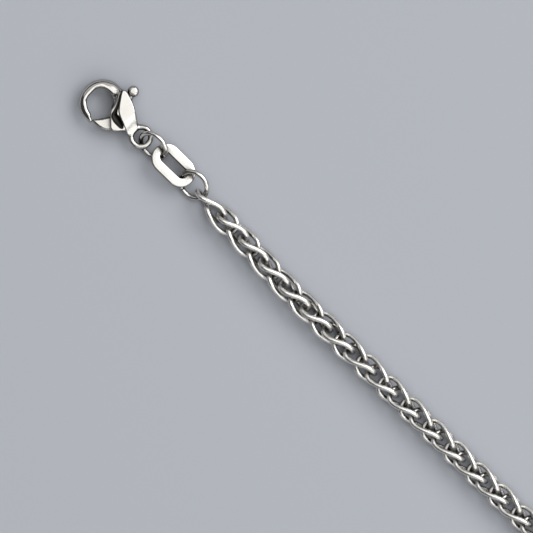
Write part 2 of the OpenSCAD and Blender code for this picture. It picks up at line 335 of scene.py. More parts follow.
def metal_colour(tree, patches, groove_shade_share, bright, shade_reach, shut, opened, tone_spread):
    """The metal's colour: warm tarnish in patches, and painted shade that darkens it where other surfaces
    stand close and turns the groove black.
    """
    # Painted shade: the colour darkens where other surfaces stand within the reach, and turns black in
    # the groove
    shade_probe = add_node(tree, "ShaderNodeAmbientOcclusion", {"Distance": shade_reach}, samples=SHADE_RAYS)
    unshaded_share = ranged(tree, shade_probe.outputs["AO"], shut, opened, DEEPEST_SHADE_LEFT, 1.0)
    patch_share = ranged(tree, patches, PATCH_LOW, PATCH_HIGH, 1 - tone_spread, 1.0)
    clean_and_unshaded = worked_out(tree, "MULTIPLY", unshaded_share, patch_share)
    colour = mixed(tree, clean_and_unshaded, TARNISH_AND_SHADE_SILVER, bright)
    groove_free = worked_out(tree, "SUBTRACT", 1, groove_shade_share)
    unshaded = worked_out(tree, "MULTIPLY", unshaded_share, groove_free)
    return mixed(tree, unshaded, PAINTED_SHADE_BLACK, colour)


# %% How rough it is, and its relief
GRAIN_SCALE, GRAIN_DETAIL, GRAIN_ROUGHNESS = 7000, 4, 0.6
GRAIN_LOW, GRAIN_HIGH = 0.3, 0.7
# Roughness that dulls the groove, so that its painted shade stays black
GROOVE_SHADE_ROUGHNESS = 0.45
# Heights in metres: the broad waves of polishing, and the hairlines on them
WAVE_HEIGHT, HAIRLINE_HEIGHT, RELIEF_STRENGTH = 0.00002, 0.000004, 0.5

# %% Two kinds of hairlines
LINES_ALONG, LINES_ROUND = 0.5, 60
# Each row of scratches: direction in degrees, and scale
SCRATCHES = ((20, 2600), (75, 3400), (140, 3000))
SCRATCH_ALONG, SCRATCH_ACROSS = 0.12, 6


def drawn_lines(tree):
    """Fine lines along the wire, which the drawplate left."""
    along_wire = add_node(tree, "ShaderNodeUVMap", uv_map="wire").outputs[0]
    stretched = add_node(tree, "ShaderNodeMapping", {
        "Vector": along_wire, "Scale": (LINES_ALONG, LINES_ROUND, 1)})
    return noise(tree, stretched.outputs[0], 1, 3)


def polishing_marks(tree):
    """Fine scratches in three directions, which handling leaves on a polished casting."""
    place = add_node(tree, "ShaderNodeTexCoord").outputs["Object"]
    height = None
    for angle, scale in SCRATCHES:
        turned = add_node(tree, "ShaderNodeMapping", {
            "Vector": place, "Rotation": (0, 0, math.radians(angle)),
            "Scale": (scale * SCRATCH_ALONG, scale * SCRATCH_ACROSS, scale)})
        marks = noise(tree, turned.outputs[0], 1, 2)
        height = marks if height is None else worked_out(tree, "ADD", height, marks)
    return height


# %% The three finishes
# How bright the metal stays where it is seen nearly edge on. The castings' and rings' dark edge is
# painted shade: it draws dark rims where their edges would mirror the shaded table beside them.
PAINTED_DARK_EDGE = (0.08, 0.08, 0.085, 1)
WIRE_EDGE = (0.80, 0.80, 0.80, 1)
PATCH_SCALE, PATCH_DETAIL = 420, 3


def polished(name, hairlines, bright, edge, shade_reach, shut, opened, tone_spread, gloss_range):
    """A polished silver finish. hairlines(tree) gives the height of its own fine marks."""
    material = bpy.data.materials.new(name)
    material.use_nodes = True
    tree = material.node_tree
    shader = tree.nodes["Principled BSDF"]
    shader.inputs["Metallic"].default_value = 1.0
    shader.inputs["Specular Tint"].default_value = edge
    place = add_node(tree, "ShaderNodeTexCoord").outputs["Object"]
    patches = noise(tree, place, PATCH_SCALE, PATCH_DETAIL)
    # The groove's painted shade, kept on each mesh of the clasp
    groove_shade_share = add_node(tree, "ShaderNodeAttribute", attribute_name="tarnish").outputs["Fac"]
    colour = metal_colour(tree, patches, groove_shade_share, bright, shade_reach, shut, opened, tone_spread)
    grain = noise(tree, place, GRAIN_SCALE, GRAIN_DETAIL, GRAIN_ROUGHNESS)
    gloss = ranged(tree, grain, GRAIN_LOW, GRAIN_HIGH, *gloss_range)
    dull = worked_out(tree, "MULTIPLY", groove_shade_share, GROOVE_SHADE_ROUGHNESS)
    roughness = worked_out(tree, "MAXIMUM", gloss, dull)
    relief = {}
    for height, distance in ((patches, WAVE_HEIGHT), (hairlines(tree), HAIRLINE_HEIGHT)):
        bump = add_node(tree, "ShaderNodeBump", {
            "Height": height, "Distance": distance, "Strength": RELIEF_STRENGTH, **relief})
        relief = {"Normal": bump.outputs[0]}
    for socket, result in {"Base Color": colour, "Roughness": roughness, **relief}.items():
        tree.links.new(result, shader.inputs[socket])
    return material


# Each row: name, hairlines, clean colour, edge, reach of the painted shade in metres, the openness that
# counts as shut and as open, what patches take away, and the range of roughness
FINISHES = (
    ("chain_silver", drawn_lines, CHAIN_SILVER, WIRE_EDGE, 0.0020, 0.38, 0.75, 0.30, (0.22, 0.34)),
    ("ring_silver", drawn_lines, CHAIN_SILVER, PAINTED_DARK_EDGE, 0.0020, 0.40, 0.80, 0.30, (0.15, 0.26)),
    ("cast_silver", polishing_marks, BRIGHT_SILVER, PAINTED_DARK_EDGE, 0.0025, 0.50, 0.88, 0.25, (0.12, 0.23)))
chain_silver, ring_silver, cast_silver = (polished(*row) for row in FINISHES)
print("finishes:", [m.name for m in (chain_silver, ring_silver, cast_silver)])

# %% [markdown]
# ## The wheat chain with Geometry Nodes
#
# A jeweller's chain machine makes one link after another, and Geometry Nodes can do the
# same. The tree gets a straight row of points, one for each link: x says how far along the
# chain the link sits, and z how high it rides. It bends that row along the route, puts a left
# or a right link on each point in turn, rolls each about its own long axis, and gives each a
# small play, because real links never lie all alike.
# An array modifier on a curve could do the bending, but it could not take turns between
# two hands, or roll the first links into place.

# %% The tree's sockets
CHAIN_VALUES = {"Object": ("Route", "Left Link", "Right Link"), "Int": ("First Link", "Seed"),
                "Float": ("Start Roll", "Chain Roll", "Links To Unroll", "Play"), "Material": ("Finish",)}


def chain_sockets(tree):
    """Gives the tree its sockets, and returns what comes in."""
    face = tree.interface
    face.new_socket("Row", in_out="INPUT", socket_type="NodeSocketGeometry")
    for kind, names in CHAIN_VALUES.items():
        for name in names:
            face.new_socket(name, in_out="INPUT", socket_type="NodeSocket" + kind)
    face.new_socket("Chain", in_out="OUTPUT", socket_type="NodeSocketGeometry")
    return add_node(tree, "NodeGroupInput").outputs


# %% Bend the row along the route
def bent_row(tree, given):
    """The row's points on the route, and the route's direction at each."""
    kept = add_node(tree, "GeometryNodeCaptureAttribute")
    kept.capture_items.new("VECTOR", "Straight Place")
    tree.links.new(given["Row"], kept.inputs[0])
    tree.links.new(add_node(tree, "GeometryNodeInputPosition").outputs[0], kept.inputs[1])
    straight = add_node(tree, "ShaderNodeSeparateXYZ", {0: kept.outputs[1]}).outputs
    route = add_node(tree, "GeometryNodeObjectInfo", {"Object": given["Route"]})
    sample = add_node(tree, "GeometryNodeSampleCurve", {
        "Curves": route.outputs["Geometry"], "Length": straight["X"]}, mode="LENGTH", use_all_curves=True)
    height = add_node(tree, "ShaderNodeCombineXYZ", {"Z": straight["Z"]})
    place = add_node(tree, "ShaderNodeVectorMath", {
        0: sample.outputs["Position"], 1: height.outputs[0]}, operation="ADD")
    bent = add_node(tree, "GeometryNodeSetPosition", {
        "Geometry": kept.outputs[0], "Position": place.outputs[0]})
    return bent.outputs[0], sample.outputs["Tangent"]


# %% Turn each link
def link_turn(tree, given, number, tangent):
    """Each link heads along the route, rolled about its own long axis."""
    roll = ranged(tree, number, 0, given["Links To Unroll"], given["Start Roll"], given["Chain Roll"],
                  interpolation_type="SMOOTHSTEP")
    low_play = worked_out(tree, "MULTIPLY", given["Play"], -1)
    play = add_node(tree, "FunctionNodeRandomValue", {
        2: low_play, 3: given["Play"], "Seed": given["Seed"]}, data_type="FLOAT")
    rolled = worked_out(tree, "ADD", roll, play.outputs[1])
    back = worked_out(tree, "MULTIPLY", rolled, -math.pi / 180)
    turn = add_node(tree, "FunctionNodeAxisAngleToRotation", {"Axis": (1, 0, 0), "Angle": back})
    heading = add_node(tree, "FunctionNodeAlignRotationToVector", {
        "Vector": tangent}, axis="X", pivot_axis="Z")
    turned = add_node(tree, "FunctionNodeRotateRotation", {
        "Rotation": heading.outputs[0], "Rotate By": turn.outputs[0]}, rotation_space="LOCAL")
    return turned.outputs[0]


# %% Put the links on the points
def placed_links(tree, given, points, number, turns):
    """A left link on each even point and a right link on each odd one."""
    odd = worked_out(tree, "MODULO", number, 2)
    even = worked_out(tree, "SUBTRACT", 1, odd)
    links = add_node(tree, "GeometryNodeJoinGeometry")
    for hand, chosen in (("Left Link", even), ("Right Link", odd)):
        shape = add_node(tree, "GeometryNodeObjectInfo", {"Object": given[hand]})
        placed = add_node(tree, "GeometryNodeInstanceOnPoints", {
            "Points": points, "Selection": chosen, "Instance": shape.outputs["Geometry"],
            "Rotation": turns})
        tree.links.new(placed.outputs[0], links.inputs[0])
    return links.outputs[0]


def chain_tree():
    """The whole tree, from a row of points to a chain."""
    tree = bpy.data.node_groups.new("Wheat chain", "GeometryNodeTree")
    given = chain_sockets(tree)
    index = add_node(tree, "GeometryNodeInputIndex").outputs[0]
    number = worked_out(tree, "ADD", index, given["First Link"])
    points, tangent = bent_row(tree, given)
    links = placed_links(tree, given, points, number, link_turn(tree, given, number, tangent))
    solid = add_node(tree, "GeometryNodeRealizeInstances", {0: links})
    finish = add_node(tree, "GeometryNodeSetMaterial", {
        "Geometry": solid.outputs[0], "Material": given["Finish"]})
    add_node(tree, "NodeGroupOutput", {0: finish.outputs[0]})
    return tree


wheat_tree = chain_tree()
print("tree:", len(wheat_tree.nodes), "nodes")

# %% The route as a curve
ROUTE_STEP = 0.5


def route_curve():
    """The route as a curve that the tree can sample."""
    count = int(run_l / ROUTE_STEP)
    curve = bpy.data.curves.new("route", "CURVE")
    curve.dimensions = "3D"
    line = curve.splines.new("POLY")
    line.points.add(count)
    for i, point in enumerate(line.points):
        pose = route_pose(run_l * i / count)
        point.co = (pose[0] * MM, pose[1] * MM, 0, 1)
    return in_scene("route", curve)


route_object = route_curve()
print("route:", len(route_object.data.splines[0].points), "points")

# %% Run the tree for both stretches
def fused(helper, name):
    """A helper object's result as a plain mesh object."""
    graph = bpy.context.evaluated_depsgraph_get()
    mesh = bpy.data.meshes.new_from_object(
        helper.evaluated_get(graph), preserve_all_data_layers=True, depsgraph=graph)
    mesh.name = name
    return in_scene(name, mesh)


def link_row(name, first, last):
    """The straight row of points for links first to last - 1."""
    points = []
    for i in range(first, last):
        roll = CHAIN_ROLL + START_ROLL * (1 - smooth_step(i / UNROLL_LINKS))
        points.append(((link_start(i) + LINK_L / 2) * MM, 0, rest_height(roll) * MM))
    mesh = bpy.data.meshes.new(name + "_row")
    mesh.from_pydata(points, [], [])
    return in_scene(name + "_row", mesh)


def wheat_stretch(name, first, last, rings, sides, play, seed):
    """Links first to last - 1 as one piece."""
    left = link_object(name + "_left", -1, rings, sides)
    right = link_object(name + "_right", 1, rings, sides)
    row = link_row(name, first, last)
    values = {"Route": route_object, "Left Link": left, "Right Link": right, "First Link": first,
              "Start Roll": float(CHAIN_ROLL + START_ROLL), "Chain Roll": float(CHAIN_ROLL),
              "Links To Unroll": float(UNROLL_LINKS), "Play": play, "Seed": seed, "Finish": chain_silver}
    nodes = row.modifiers.new("Wheat chain", "NODES")
    nodes.node_group = wheat_tree
    for item in wheat_tree.interface.items_tree:
        if item.in_out == "INPUT" and item.name in values:
            nodes[item.identifier] = values[item.name]
    made = fused(row, name)
    for helper in (row, left, right):
        bpy.data.objects.remove(helper)
    print(name, "has", last - first, "links and", len(made.data.polygons), "faces")
    return made


near_links = wheat_stretch("near_wheat_links", 0, MADE_LINKS, rings=44, sides=14, play=1.0, seed=7)
far_links = wheat_stretch("far_wheat_links", MADE_LINKS, link_count, rings=16, sides=6, play=1.0, seed=8)
bpy.data.objects.remove(route_object)
for piece, node in ((near_links, "wheat_links"), (far_links, "wheat_run")):
    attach(piece, "necklace")
    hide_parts(node)

# %% [markdown]
# ## The rings
#
# A jump ring is a turn of wire that was sawn off a coil, so it has a cut, and the cut stays
# as a hairline when the ring is closed. The far ring is soldered, and its seam is a slight
# swelling. Both are the same swept circle: the first one stops short of a full turn, and
# the second one grows a little thicker at its seam. A torus would be quicker, but it would
# have neither.

# %% Show a mesh in the place of a node
def finished(mesh, body, node, material):
    """Shows a finished mesh in the place of a CAD node."""
    mesh.materials.clear()
    mesh.materials.append(material)
    piece = in_scene(mesh.name, mesh)
    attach(piece, body)
    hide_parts(node)
    print(mesh.name, "has", len(mesh.polygons), "faces")


def put(mesh, rotation, middle):
    """Turns a mesh round the origin, and moves it to its place in millimetres."""
    mesh.transform(Matrix.Translation(Vector(middle) * MM) @ rotation.to_4x4())
    return mesh


# %% The jump rings
CUT_GAP, CUT_AT, CUT_EDGE = 0.035, -112, 0.03
RING_STEPS, RING_SIDES = 112, 20


def circle(radius, angles):
    """Points of a flat circle at those angles, and the up direction at each."""
    line = np.stack([radius * np.cos(angles), radius * np.sin(angles), 0 * angles], 1)
    return line, np.tile([0.0, 0.0, 1.0], (len(angles), 1))


def jump_ring(name, lean, middle):
    """A ring with a hairline cut, leaning about the chain's line."""
    gap = CUT_GAP / ring_r
    angles = math.radians(CUT_AT) + gap / 2 + (2 * math.pi - gap) * np.linspace(0, 1, RING_STEPS)
    line, up = circle(ring_r, angles)
    radii = np.full(RING_STEPS, RING_WIRE / 2)
    radii[[0, -1]] -= CUT_EDGE
    mesh = sweep(name, line, up, radii, RING_SIDES, False)
    return put(mesh, Matrix.Rotation(math.radians(lean), 3, "X"), middle)


for name, lean, middle, node in (("clasp_jump_ring", CLASP_RING_LEAN, clasp_ring_at, "clasp_ring"),
                                 ("chain_jump_ring", CHAIN_RING_LEAN, chain_ring_at, "chain_ring")):
    finished(jump_ring(name, lean, middle), "necklace", node, ring_silver)

# %% The soldered far ring
SEAM_AT, SEAM_W, SEAM_SWELL = 200, 9, 0.018


def soldered_ring():
    """The far ring, which leans from the last link's height down to the table."""
    angles = 2 * math.pi * np.arange(RING_STEPS) / RING_STEPS
    line, up = circle(far_ring_r, angles)
    off = (np.degrees(angles) - SEAM_AT) / SEAM_W
    radii = FAR_RING_WIRE / 2 + SEAM_SWELL * np.exp(-off ** 2)
    mesh = sweep("far_end_ring", line, up, radii, RING_SIDES, True)
    reach = far_ring_r - FAR_RING_WIRE / 2 - LINK_WIRE / 2 - LINK_GAP - RING_SLACK
    drop = math.asin((rest_height(CHAIN_ROLL) - FAR_RING_WIRE / 2) / (reach + far_ring_r))
    heading = math.radians(route_pose(run_l)[2])
    turned = Matrix.Rotation(heading, 3, "Z") @ Matrix.Rotation(drop, 3, "Y")
    return put(mesh, turned, middle_of("far_ring"))


finished(soldered_ring(), "necklace", "far_ring", ring_silver)

# %% [markdown]
# ## The flat link
#
# The flat oval link is stamped from sheet: it has two flat faces, a slot with round ends, and
# edges that tumbling has rounded. It is made as a band that goes once round the slot. Each
# ring of the band is a rounded section from the slot's wall to the outer edge, so that the
# faces stay truly flat and reflect as one plane, which is what makes this link flash.

# %% The band's section
END_STEPS, ROUND_STEPS = 40, 5
FLAT_ROUND = 0.13


def flat_section(width):
    """A flat band's section, x from the slot outward, its four corners rounded."""
    h = FLAT_T / 2
    points = []
    for corner, (x, z) in enumerate(((0, h), (width, h), (width, -h), (0, -h))):
        middle_x = x + (FLAT_ROUND if x == 0 else -FLAT_ROUND)
        middle_z = z + (-FLAT_ROUND if z > 0 else FLAT_ROUND)
        for i in range(ROUND_STEPS + 1):
            a = math.pi - corner * math.pi / 2 - i * math.pi / 2 / ROUND_STEPS
            points.append((middle_x + FLAT_ROUND * math.cos(a), middle_z + FLAT_ROUND * math.sin(a)))
    return np.array(points)

# %% The band round the slot
def flat_band(name):
    """The flat link round the origin, its length on X."""
    rings = []
    slot_r, outer_r = SLOT_W / 2, FLAT_W / 2
    slot_x, outer_x = FLAT_L / 2 - SLOT_END - slot_r, FLAT_L / 2 - outer_r
    for side in (1, -1):
        for a in math.radians(-90 * side) + math.pi * np.linspace(0, 1, END_STEPS + 1):
            turn = np.array([math.cos(a), math.sin(a), 0])
            inner = np.array([side * slot_x, 0, 0]) + slot_r * turn
            outer = np.array([side * outer_x, 0, 0]) + outer_r * turn
            width = np.linalg.norm(outer - inner)
            across = (outer - inner) / width
            rings.append([inner + x * across + np.array([0, 0, z]) for x, z in flat_section(width)])
    faces = band_quads(len(rings), len(rings[0]), len(rings))
    return smooth_mesh(name, np.array(rings).reshape(-1, 3), faces)


rings_apart = chain_ring_at[0] - clasp_ring_at[0] - 2 * ring_r
lift = math.asin((clasp_ring_at[2] - chain_ring_at[2]) / rings_apart)
flat_turn = Matrix.Rotation(lift, 3, "Y") @ Matrix.Rotation(math.radians(-FLAT_LEAN), 3, "X")
finished(put(flat_band("flat_oval_link"), flat_turn, flat_at),
         "necklace", "flat_link", cast_silver)

# %% [markdown]
# ## The lobster clasp
#
# The clasp is cast: a thick hook runs into a housing, a raised blade crosses it, and an eye
# of wire grows out of its end, with soft fillets everywhere but at the blade's edges. Such
# a form is hard to model face by face. It is easier to describe by distances: each simple
# form says how far a point lies from its surface, two forms melt into each other over a
# chosen width, and a cut is the same melt turned inside out.

# %% Distances to simple forms
FAR_AWAY = 1e9


def polygon_distance(x, y, outline):
    """Distance from points to an outline in the plane, negative inside it."""
    nearest = np.full(x.shape, FAR_AWAY)
    inside = np.zeros(x.shape, bool)
    for (ax, ay), (bx, by) in zip(outline, np.roll(outline, -1, 0)):
        ex, ey = bx - ax, by - ay
        t = np.clip(((x - ax) * ex + (y - ay) * ey) / (ex * ex + ey * ey), 0, 1)
        nearest = np.minimum(nearest, np.hypot(x - ax - t * ex, y - ay - t * ey))
        if ey != 0:
            inside ^= ((ay > y) != (by > y)) & (x < ex * (y - ay) / ey + ax)
    return np.where(inside, -nearest, nearest)


def plate(p, outline, thick, soft):
    """An outline raised to a plate whose edges are rounded by soft."""
    d = polygon_distance(p[0], p[1], outline) + soft
    z = np.abs(p[2]) - thick / 2 + soft
    return np.minimum(np.maximum(d, z), 0) + np.hypot(np.maximum(d, 0), np.maximum(z, 0)) - soft


def rod(p, x, y, r, half_h):
    """An upright rod with square ends."""
    d = np.hypot(p[0] - x, p[1] - y) - r
    return np.maximum(d, np.abs(p[2]) - half_h)


def eye(p):
    """The clasp's eye, a ring of round wire about the origin."""
    return np.hypot(np.hypot(p[0], p[1]) - (EYE_D - EYE_WIRE) / 2, p[2]) - EYE_WIRE / 2


# %% Melting and carving
def melt(a, b, width):
    """The union of two forms, with a fillet of that width between them."""
    share = np.clip(0.5 + 0.5 * (b - a) / width, 0, 1)
    return b * (1 - share) + a * share - width * share * (1 - share)


def carve(a, b, width):
    """Form a without form b, with the rim softened over that width."""
    return -melt(-a, b, width)


# %% [markdown]
# ## From distances to a mesh
#
# A form of distances has no faces yet. Blender's remesher makes some, but it rounds off crisp
# edges. Here a grid of cells is laid over the form. Each cell that the surface crosses gets
# one point, each edge of the grid that it crosses gets a face between four such points, and
# then every point is slid exactly onto the surface, so that the reflections run smooth.

# %% A point in each crossed cell
def cell_points(grid, d):
    """The mean crossing in each cell that the surface crosses, and which cells those are."""
    inside = d < 0
    cells = tuple(n - 1 for n in d.shape)
    total, hits = np.zeros((3,) + cells), np.zeros(cells)
    for axis in range(3):
        for b, c in ((0, 0), (0, 1), (1, 0), (1, 1)):
            shift = [0, 0, 0]
            shift[(axis + 1) % 3], shift[(axis + 2) % 3] = b, c
            a0 = tuple(slice(s, s + n) for s, n in zip(shift, cells))
            shift[axis] = 1
            a1 = tuple(slice(s, s + n) for s, n in zip(shift, cells))
            crossed = inside[a0] != inside[a1]
            t = np.where(crossed, d[a0] / np.where(crossed, d[a0] - d[a1], 1), 0)
            start, end = grid[(slice(None),) + a0], grid[(slice(None),) + a1]
            total += np.where(crossed, start * (1 - t) + end * t, 0)
            hits += crossed
    used = hits > 0
    return total[:, used] / hits[used], used


# %% A face on each crossed edge
def cell_faces(inside, used):
    """Faces between the points of the used cells, all turned outwards."""
    cells = used.shape
    number = np.full(cells, -1)
    number[used] = np.arange(used.sum())
    quads = []
    for axis in range(3):
        u, v = (axis + 1) % 3, (axis + 2) % 3
        here = [slice(1, n) for n in cells]
        here[axis] = slice(0, cells[axis])
        ahead = list(here)
        ahead[axis] = slice(1, cells[axis] + 1)
        s0, s1 = inside[tuple(here)], inside[tuple(ahead)]
        at = np.argwhere(s0 != s1) + np.array([0 if i == axis else 1 for i in range(3)])
        outward = s0[s0 != s1]
        corners = []
        for du, dv in ((0, 0), (-1, 0), (-1, -1), (0, -1)):
            cell = at.copy()
            cell[:, u] += du
            cell[:, v] += dv
            corners.append(number[cell[:, 0], cell[:, 1], cell[:, 2]])
        face = np.stack(corners, 1)
        quads.append(np.where(outward[:, None], face, face[:, ::-1]))
    return np.concatenate(quads)


# %% Slide the points onto the surface
SLIDES, PROBE, LEAST_STEEP = 4, 0.01, 0.2


def slid(points, form, step):
    """The points, slid along the form's slope, half a step at most each time."""
    for _ in range(SLIDES):
        slope = np.stack([form(points + PROBE * e[:, None]) - form(points - PROBE * e[:, None])
                          for e in np.eye(3)]) / (2 * PROBE)
        off = form(points) / np.maximum((slope ** 2).sum(0), LEAST_STEEP)
        points = points - np.clip(off, -step / 2, step / 2) * slope
    return points


def net(name, form, low, high, step):
    """A mesh of a form's surface between two corners, with faces about step wide."""
    axes = [np.arange(low[i], high[i] + step, step) for i in range(3)]
    grid = np.stack(np.meshgrid(*axes, indexing="ij"))
    d = form(grid)
    points, used = cell_points(grid, d)
    return smooth_mesh(name, slid(points, form, step).T, cell_faces(d < 0, used).tolist())


# %% [markdown]
# ## The clasp's outlines
#
# A caster's wax model starts as flat outlines, and so does this one. They are shares of the
# clasp's length, so that it can be made longer or shorter in one place. Straight corners
# would look sawn, so each outline's corners are cut a few times, as a file takes them off.

# %% Outlines and how they are rounded
HOUSING = [(-0.611, 0.276), (-0.56, 0.3), (-0.36, 0.237), (-0.144, 0.089), (-0.163, -0.036),
    (-0.191, -0.083), (-0.337, -0.241), (-0.48, -0.095), (-0.533, -0.04),
    (-0.547, 0.093), (-0.6, 0.173)]
BLADE = [(-0.611, 0.27), (-0.56, 0.3), (-0.36, 0.237), (-0.144, 0.089), (-0.105, 0.04), (-0.105, -0.07),
    (-0.145, -0.108), (-0.217, -0.065), (-0.36, -0.01), (-0.451, 0.039)]
LEVER = [(-0.619, -0.291), (-0.573, -0.311), (-0.48, -0.304), (-0.387, -0.272), (-0.313, -0.18),
    (-0.307, -0.067), (-0.437, 0.34), (-0.55, 0.35), (-0.433, -0.027), (-0.487, -0.1),
    (-0.544, -0.189), (-0.616, -0.272)]
CORNER_CUT, CORNER_PASSES = 0.2, 3


def sized(shares):
    """Shares of the clasp's length in millimetres."""
    return np.array(shares) * CLASP_L


def rounded(outline):
    """An outline with its corners cut, as a file takes them off."""
    points = sized(outline)
    for _ in range(CORNER_PASSES):
        after = np.roll(points, -1, 0)
        points = np.stack([points * (1 - CORNER_CUT) + after * CORNER_CUT,
                           points * CORNER_CUT + after * (1 - CORNER_CUT)], 1).reshape(-1, 2)
    return points


pivot_x, pivot_y = sized(PIVOT)
housing_outline, blade_outline, lever_outline = (rounded(o) for o in (HOUSING, BLADE, LEVER))
print("outlines of", [len(o) for o in (housing_outline, blade_outline, lever_outline)], "points")

# %% The slot that the lever swings in
SLOT_STOP = [(-0.578, 0.413), (-0.517, 0.12), (-0.56, -0.013), (-0.6, -0.013)]
SLOT_GATE = [(-0.6, -0.2), (-0.42, -0.387), (-0.3, -0.387), (-0.3, -0.187), (-0.26, -0.107)]
SLOT_THUMB = [(-0.279, -0.05), (-0.433, 0.44)]


def swung(points, degrees):
    """Points turned with the lever, in shares."""
    a, off = math.radians(degrees), np.array(points) - PIVOT
    return PIVOT + np.stack([off[:, 0] * math.cos(a) + off[:, 1] * math.sin(a),
                             off[:, 1] * math.cos(a) - off[:, 0] * math.sin(a)], 1)


slot_outline = sized(SLOT_STOP + SLOT_GATE + swung(SLOT_THUMB, LEVER_OPEN).tolist())

# %% A smooth curve through a table
PATH_STEPS = 4


def smooth_path(rows):
    """A smooth curve through the rows of a table (Catmull-Rom)."""
    rows = np.vstack([2 * rows[0] - rows[1], rows, 2 * rows[-1] - rows[-2]])
    path = []
    for a, b, c, d in zip(rows, rows[1:], rows[2:], rows[3:]):
        for t in np.arange(PATH_STEPS) / PATH_STEPS:
            path.append(0.5 * (2 * b + (c - a) * t + (2 * a - 5 * b + 4 * c - d) * t ** 2
                               + (3 * b - a - 3 * c + d) * t ** 3))
    return np.array(path + [rows[-2]])


# %% [markdown]
# ## The hook and the groove
#
# The hook is not a plain bent rod. Its two faces slope, down towards the outside for most of
# its way and down towards the inside at its root, and that slope is why it looks grey and
# black beside the white blade: it mirrors the dark of the room. The groove beside the blade
# is a furrow, and the finish paints its inside black as painted shade. A short table gives
# each of them its course, with a row for each place where it changes.

# %% The hook
HOOK_MIDDLE = sized([-0.72, -0.04])
# Each row: angle round the hook's middle, share to the inner edge, share of the width
HOOK = np.array([(20, 0.180, 0.160), (60, 0.171, 0.150), (90, 0.170, 0.148), (135, 0.178, 0.112),
    (180, 0.160, 0.112), (215, 0.176, 0.106), (240, 0.180, 0.116), (258, 0.190, 0.112),
    (276, 0.205, 0.104), (283, 0.234, 0.079), (288, 0.264, 0.050)])
# Each row: angle round the hook's middle, slope of its faces in degrees, down towards the outside
HOOK_SLOPE = np.array([(20, -24), (60, -14), (85, 10), (110, 24), (180, 26), (250, 24), (288, 20)])
HOOK_START, HOOK_END = HOOK[0, 0], HOOK[-1, 0]
# The tip's thickness as a share of the root's, and the angle past which a point belongs to the root
HOOK_TIP_SHARE, PAST_THE_TIP = 0.45, 330
# How far the faces' crest lies off the middle, as a share of the half width
CREST_SHARE = 0.55
# How soft the edges are, and the most that a narrow tip allows, as a share of its half width
HOOK_SOFT, TIP_SOFT_SHARE = 0.5, 1.6
hook_path = smooth_path(HOOK)


def hook(p):
    """The hook: a band with sloping faces round the hook's middle."""
    x, y = p[0] - HOOK_MIDDLE[0], p[1] - HOOK_MIDDLE[1]
    angle = np.degrees(np.arctan2(y, x)) % 360
    angle = np.where(angle > PAST_THE_TIP, HOOK_START, np.clip(angle, HOOK_START, HOOK_END))
    share = (angle - HOOK_START) / (HOOK_END - HOOK_START)
    inner = sized(np.interp(angle, hook_path[:, 0], hook_path[:, 1]))
    half_w = sized(np.interp(angle, hook_path[:, 0], hook_path[:, 2])) / 2
    half_t = HOOK_T / 2 * (1 + (HOOK_TIP_SHARE - 1) * share)
    a = np.radians(angle)
    mid_x, mid_y = (inner + half_w) * np.cos(a), (inner + half_w) * np.sin(a)
    out = (x - mid_x) * np.cos(a) + (y - mid_y) * np.sin(a)
    side = -(x - mid_x) * np.sin(a) + (y - mid_y) * np.cos(a)
    tilt = np.radians(np.interp(angle, HOOK_SLOPE[:, 0], HOOK_SLOPE[:, 1]))
    crest = -np.sign(tilt) * half_w * CREST_SHARE
    face = (np.abs(p[2]) - half_t) * np.cos(tilt) + (out - crest) * np.sin(tilt)
    edge = np.hypot(out, side) - half_w
    return carve(face, -edge, np.minimum(HOOK_SOFT, TIP_SOFT_SHARE * half_w))


print("the hook follows", len(hook_path), "places")

# %% The groove
# Each row of the groove beside the blade: two shares, then its radius in millimetres
GROOVE = [(-0.606, 0.262, 0.08), (-0.556, 0.168, 0.11), (-0.508, 0.076, 0.13), (-0.480, 0.010, 0.18),
    (-0.448, -0.046, 0.32), (-0.392, -0.062, 0.40), (-0.324, -0.076, 0.32), (-0.264, -0.087, 0.20),
    (-0.212, -0.080, 0.08)]
GROOVE_LIFT = 0.06
groove_path = smooth_path(np.array(GROOVE) * (CLASP_L, CLASP_L, 1))


def groove(p):
    """A tube beside the blade on both faces, thick in its middle and thin at its ends."""
    z = np.abs(p[2]) - CLASP_T / 2 - GROOVE_LIFT
    d = np.full(p[0].shape, FAR_AWAY)
    for (ax, ay, ar), (bx, by, br) in zip(groove_path, groove_path[1:]):
        ex, ey = bx - ax, by - ay
        t = np.clip(((p[0] - ax) * ex + (p[1] - ay) * ey) / (ex * ex + ey * ey), 0, 1)
        away = np.sqrt((p[0] - ax - t * ex) ** 2 + (p[1] - ay - t * ey) ** 2 + z ** 2)
        d = np.minimum(d, away - ar - t * (br - ar))
    return d

# %% [markdown]
# ## The casting and the lever
#
# The casting is the hook melted into the housing, with the groove carved out, and the blade
# set on top. The blade keeps a crisp foot, and runs out in a slope to the wire of the eye.
# The slot and the pin's hole are cut last, as they are on the real one. The lever is cast by
# itself: an arm with a hub round the pin, a gate at one end and a knob for the thumb.

# %% The casting
HOUSING_SOFT, BLADE_SOFT, SLOT_SOFT = 0.2, 0.1, 0.03
# Fillets between the hook and the housing, and between the blade and the eye
HOOK_FILLET, EYE_FILLET = 0.5, 0.3
GROOVE_RIM, BLADE_FOOT = 0.05, 0.05
# Where along the clasp the blade and the housing start to fall off towards the eye, and where they end
FALL_FROM, FALL_TO = -2.5, -0.75
# The skin of the casting over each end of the pin, and the pin's play in its hole
PIN_SKIN, PIN_PLAY = 0.16, 0.005


def falling(p, thick):
    """A thickness that falls off towards the eye, until it is the wire's own."""
    fall = smooth_step((p[0] - FALL_FROM) / (FALL_TO - FALL_FROM))
    return thick + fall * (EYE_WIRE - thick)


